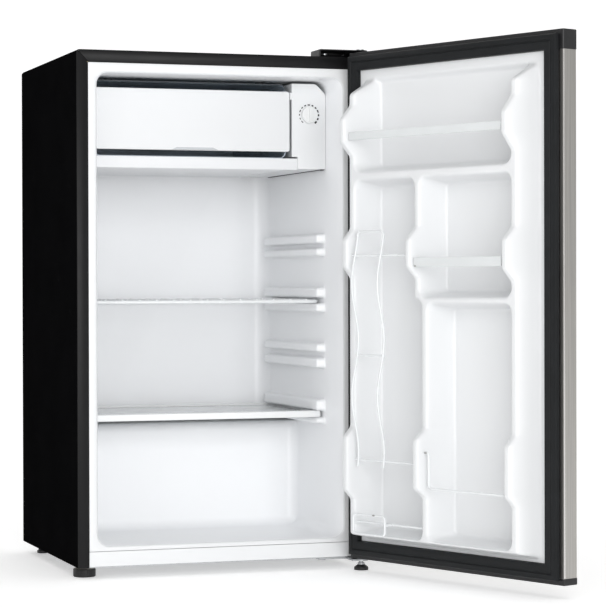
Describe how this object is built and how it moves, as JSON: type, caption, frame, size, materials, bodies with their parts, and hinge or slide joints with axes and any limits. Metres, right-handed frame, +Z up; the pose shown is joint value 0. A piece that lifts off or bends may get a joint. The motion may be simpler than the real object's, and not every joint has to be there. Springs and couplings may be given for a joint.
{
  "type": "mini fridge",
  "caption": "Free-standing compact refrigerator with a hinged, stainless-faced door, an icebox with its own flap, a thermostat dial, sliding shelves and a moulded door rack.",
  "frame": {"origin": "on the floor, under the middle of the open refrigerator's outline", "axes": "+Z up, the cabinet's front faces -Y, +X to the right as seen from the front"},
  "size_m": [0.6135, 0.8491, 0.8016],
  "materials": {
    "painted_steel": "satin",
    "rear_black": "satin",
    "zinc_steel": "satin",
    "stainless": "satin",
    "white_wire": "gloss",
    "copper_tube": "satin",
    "aluminium_sheet": "satin",
    "liner_white": "gloss",
    "flap_white": "gloss",
    "tray_white": "gloss",
    "housing_white": "gloss",
    "dial_white": "gloss",
    "trim_white": "gloss",
    "black_plastic": "matte",
    "grey_plastic": "matte",
    "insulation": "matte",
    "gasket_black": "matte",
    "magnet_strip": "matte",
    "grommet_rubber": "matte",
    "shelf_glass": "gloss",
    "clear_strip": "gloss"
  },
  "bodies": {
    "cabinet": {"outer_wrapper": "painted_steel", "back_panel": "rear_black", "base_pan": "zinc_steel", "inner_liner": "liner_white", "cabinet_foam": "insulation", "sill_panel": "liner_white", "foot_weld_nut": "zinc_steel", "rear_feet": "black_plastic", "upper_hinge_bracket": "zinc_steel", "upper_hinge_pin": "zinc_steel", "upper_hinge_cover": "black_plastic", "hinge_backing_plate": "zinc_steel", "lower_hinge_bracket": "zinc_steel", "lower_hinge_pin": "zinc_steel", "hinge_screws": "zinc_steel", "evaporator": "aluminium_sheet", "evaporator_spacers": "black_plastic", "flap_brackets": "housing_white", "tray_rails": "housing_white", "control_housing": "housing_white", "thermostat": "grey_plastic", "compressor_plate": "zinc_steel", "compressor_grommets": "grommet_rubber", "compressor_bolts": "zinc_steel", "compressor": "rear_black", "relay_cover": "black_plastic", "condenser_tube": "rear_black", "condenser_wires": "rear_black", "condenser_clips": "black_plastic", "discharge_tube": "copper_tube", "filter_drier": "copper_tube"},
    "door": {"door_skin": "stainless", "door_top_cap": "black_plastic", "door_bottom_cap": "black_plastic", "door_bushes": "grey_plastic", "door_foam": "insulation", "door_liner": "liner_white", "door_gasket": "gasket_black", "gasket_magnet": "magnet_strip", "upper_strip": "clear_strip", "lower_strip": "clear_strip", "can_rack_wire": "white_wire", "can_stop_wire": "white_wire", "bottle_wire": "white_wire"},
    "flap": {"freezer_flap": "flap_white"},
    "dial": {"dial": "dial_white", "dial_shaft": "zinc_steel"},
    "tray": {"drip_tray": "tray_white"},
    "upper_shelf": {"upper_shelf": "white_wire"},
    "lower_shelf": {"lower_shelf_glass": "shelf_glass", "lower_shelf_trims": "trim_white"},
    "left_foot": {"front_left_foot": "black_plastic", "front_left_stud": "zinc_steel"},
    "right_foot": {"front_right_foot": "zinc_steel"}
  },
  "joints": [
    {"name": "door_hinge", "type": "hinge", "parent": "cabinet", "child": "door", "pos_m": [0.1326, -0.0105, 0.4], "axis": [0, 0, 1], "range_deg": [-111.5, 18.5]},
    {"name": "flap_hinge", "type": "hinge", "parent": "cabinet", "child": "flap", "pos_m": [-0.11, 0.08, 0.734], "axis": [-1, 0, 0], "range_deg": [0, 80]},
    {"name": "dial_turn", "type": "hinge", "parent": "cabinet", "child": "dial", "pos_m": [0.078, 0.07, 0.704], "axis": [0, 1, 0], "range_deg": [-135, 135]},
    {"name": "upper_shelf_slide", "type": "slide", "parent": "cabinet", "child": "upper_shelf", "axis": [0, -1, 0], "range_m": [0, 0.14]},
    {"name": "lower_shelf_slide", "type": "slide", "parent": "cabinet", "child": "lower_shelf", "axis": [0, -1, 0], "range_m": [0, 0.14]},
    {"name": "tray_slide", "type": "slide", "parent": "cabinet", "child": "tray", "axis": [0, -1, 0], "range_m": [0, 0.25]},
    {"name": "left_foot_turn", "type": "hinge", "parent": "cabinet", "child": "left_foot", "pos_m": [-0.288, 0.054, 0], "axis": [0, 0, 1], "range_deg": [-360, 360]},
    {"name": "right_foot_turn", "type": "hinge", "parent": "cabinet", "child": "right_foot", "pos_m": [0.1326, -0.0105, 0], "axis": [0, 0, 1], "range_deg": [-360, 360]}
  ]
}
